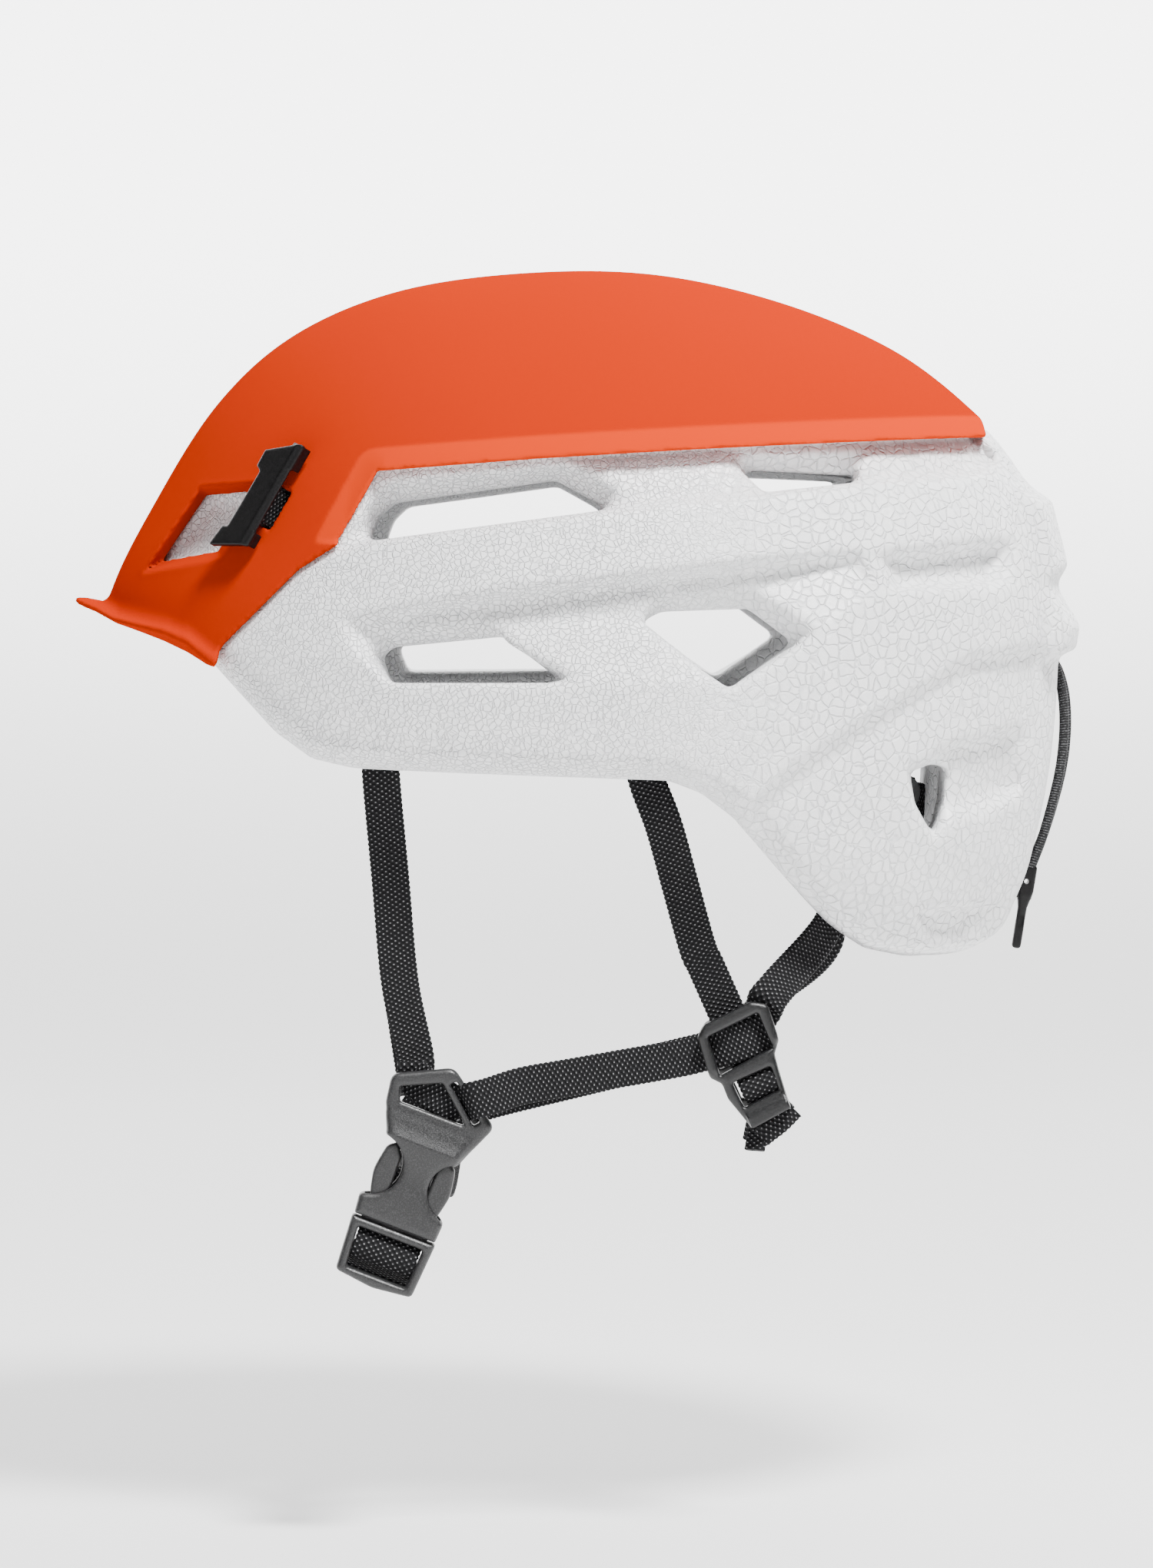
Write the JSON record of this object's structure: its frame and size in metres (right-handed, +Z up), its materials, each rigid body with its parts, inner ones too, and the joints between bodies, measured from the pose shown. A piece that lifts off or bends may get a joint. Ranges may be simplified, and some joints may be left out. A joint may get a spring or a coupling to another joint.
{
  "type": "climbing helmet",
  "caption": "Open-vented climbing helmet: a hard top shell over a white foam body, with side lamp clips, a rear elastic lamp cord and a webbing harness with a side-release chin buckle.",
  "frame": {"origin": "centre of the head opening at the level of the side rim, on the middle plane", "axes": "-Y is the way the wearer faces, +X is the wearer's left (the buckle's side), +Z is up through the crown"},
  "size_m": [0.211, 0.2897, 0.2862],
  "materials": {
    "foam": "expanded polypropylene, fused beads, matt",
    "shell": "satin orange",
    "clip": "fine grain, matt",
    "plastic": "fine grain, matt",
    "webbing": "woven polyester with small pale dots",
    "pad": "knitted mesh over soft foam",
    "fastener": "hook and loop",
    "elastic": "braided elastic"
  },
  "bodies": {
    "helmet": {"foam_body": "foam", "hard_shell": "shell", "middle_anchor_left": "plastic", "middle_anchor_right": "plastic", "nape_anchor_left": "plastic", "nape_anchor_right": "plastic", "long_webbing_left": "webbing", "long_webbing_right": "webbing", "middle_webbing_left": "webbing", "middle_webbing_right": "webbing", "buckle_socket": "plastic", "webbing_frame_right": "plastic", "brow_pad": "pad", "crown_pad_middle": "pad", "crown_pad_left": "pad", "crown_pad_right": "pad", "pad_fasteners": "fastener", "band_keeper_left": "plastic", "band_keeper_right": "plastic", "cord_peg": "plastic"},
    "clip_left": {"lamp_clip_left": "clip"},
    "clip_right": {"lamp_clip_right": "clip"},
    "yoke_left": {"yoke_left": "plastic"},
    "yoke_right": {"yoke_right": "plastic"},
    "buckle_plug": {"buckle_plug": "plastic", "chin_webbing": "webbing"},
    "prong_front": {"buckle_prong_front": "plastic"},
    "prong_rear": {"buckle_prong_rear": "plastic"},
    "headband": {"nape_band": "plastic", "nape_pad": "pad"},
    "cord_tab": {"cord_tab": "plastic", "lamp_cord": "elastic"}
  },
  "joints": [
    {"name": "clip_left_lift", "type": "hinge", "parent": "helmet", "child": "clip_left", "pos_m": [0.07784, -0.08531, 0.07623], "axis": [-0.0325, 0.5102, 0.8594], "range_deg": [0, 18], "stiffness_Nm_per_rad": 0.02},
    {"name": "clip_right_lift", "type": "hinge", "parent": "helmet", "child": "clip_right", "pos_m": [-0.07784, -0.08531, 0.07623], "axis": [-0.0325, -0.5102, -0.8594], "range_deg": [0, 18], "stiffness_Nm_per_rad": 0.02},
    {"name": "buckle_release", "type": "slide", "parent": "helmet", "child": "buckle_plug", "axis": [0, -0.3584, -0.9336], "range_m": [0, 0.022], "deforming": ["chin_webbing"]},
    {"name": "prong_front_squeeze", "type": "hinge", "parent": "buckle_plug", "child": "prong_front", "pos_m": [0.0775, -0.0576, -0.11717], "axis": [-1, 0, 0], "range_deg": [0, 9], "stiffness_Nm_per_rad": 0.02},
    {"name": "prong_rear_squeeze", "type": "hinge", "parent": "buckle_plug", "child": "prong_rear", "pos_m": [0.0775, -0.04285, -0.12283], "axis": [-1, 0, 0], "range_deg": [-9, 0], "stiffness_Nm_per_rad": 0.02},
    {"name": "headband_tighten", "type": "slide", "parent": "helmet", "child": "headband", "axis": [0, -1, 0], "range_m": [0, 0.014]},
    {"name": "lamp_cord_open", "type": "hinge", "parent": "helmet", "child": "cord_tab", "pos_m": [0, 0.1345, 0.034], "axis": [1, 0, 0], "range_deg": [0, 55], "stiffness_Nm_per_rad": 0.01, "deforming": ["lamp_cord"]},
    {"name": "yoke_left_slide", "type": "slide", "parent": "helmet", "child": "yoke_left", "axis": [0, 0.4067, -0.9135], "range_m": [-0.008, 0.008], "deforming": ["middle_webbing_left", "long_webbing_left"]},
    {"name": "yoke_right_slide", "type": "slide", "parent": "helmet", "child": "yoke_right", "axis": [0, 0.4067, -0.9135], "range_m": [-0.008, 0.008], "deforming": ["middle_webbing_right", "long_webbing_right"]}
  ],
  "couplings": [
    {"joint": "prong_rear_squeeze", "follows": "prong_front_squeeze", "ratio": -1}
  ]
}
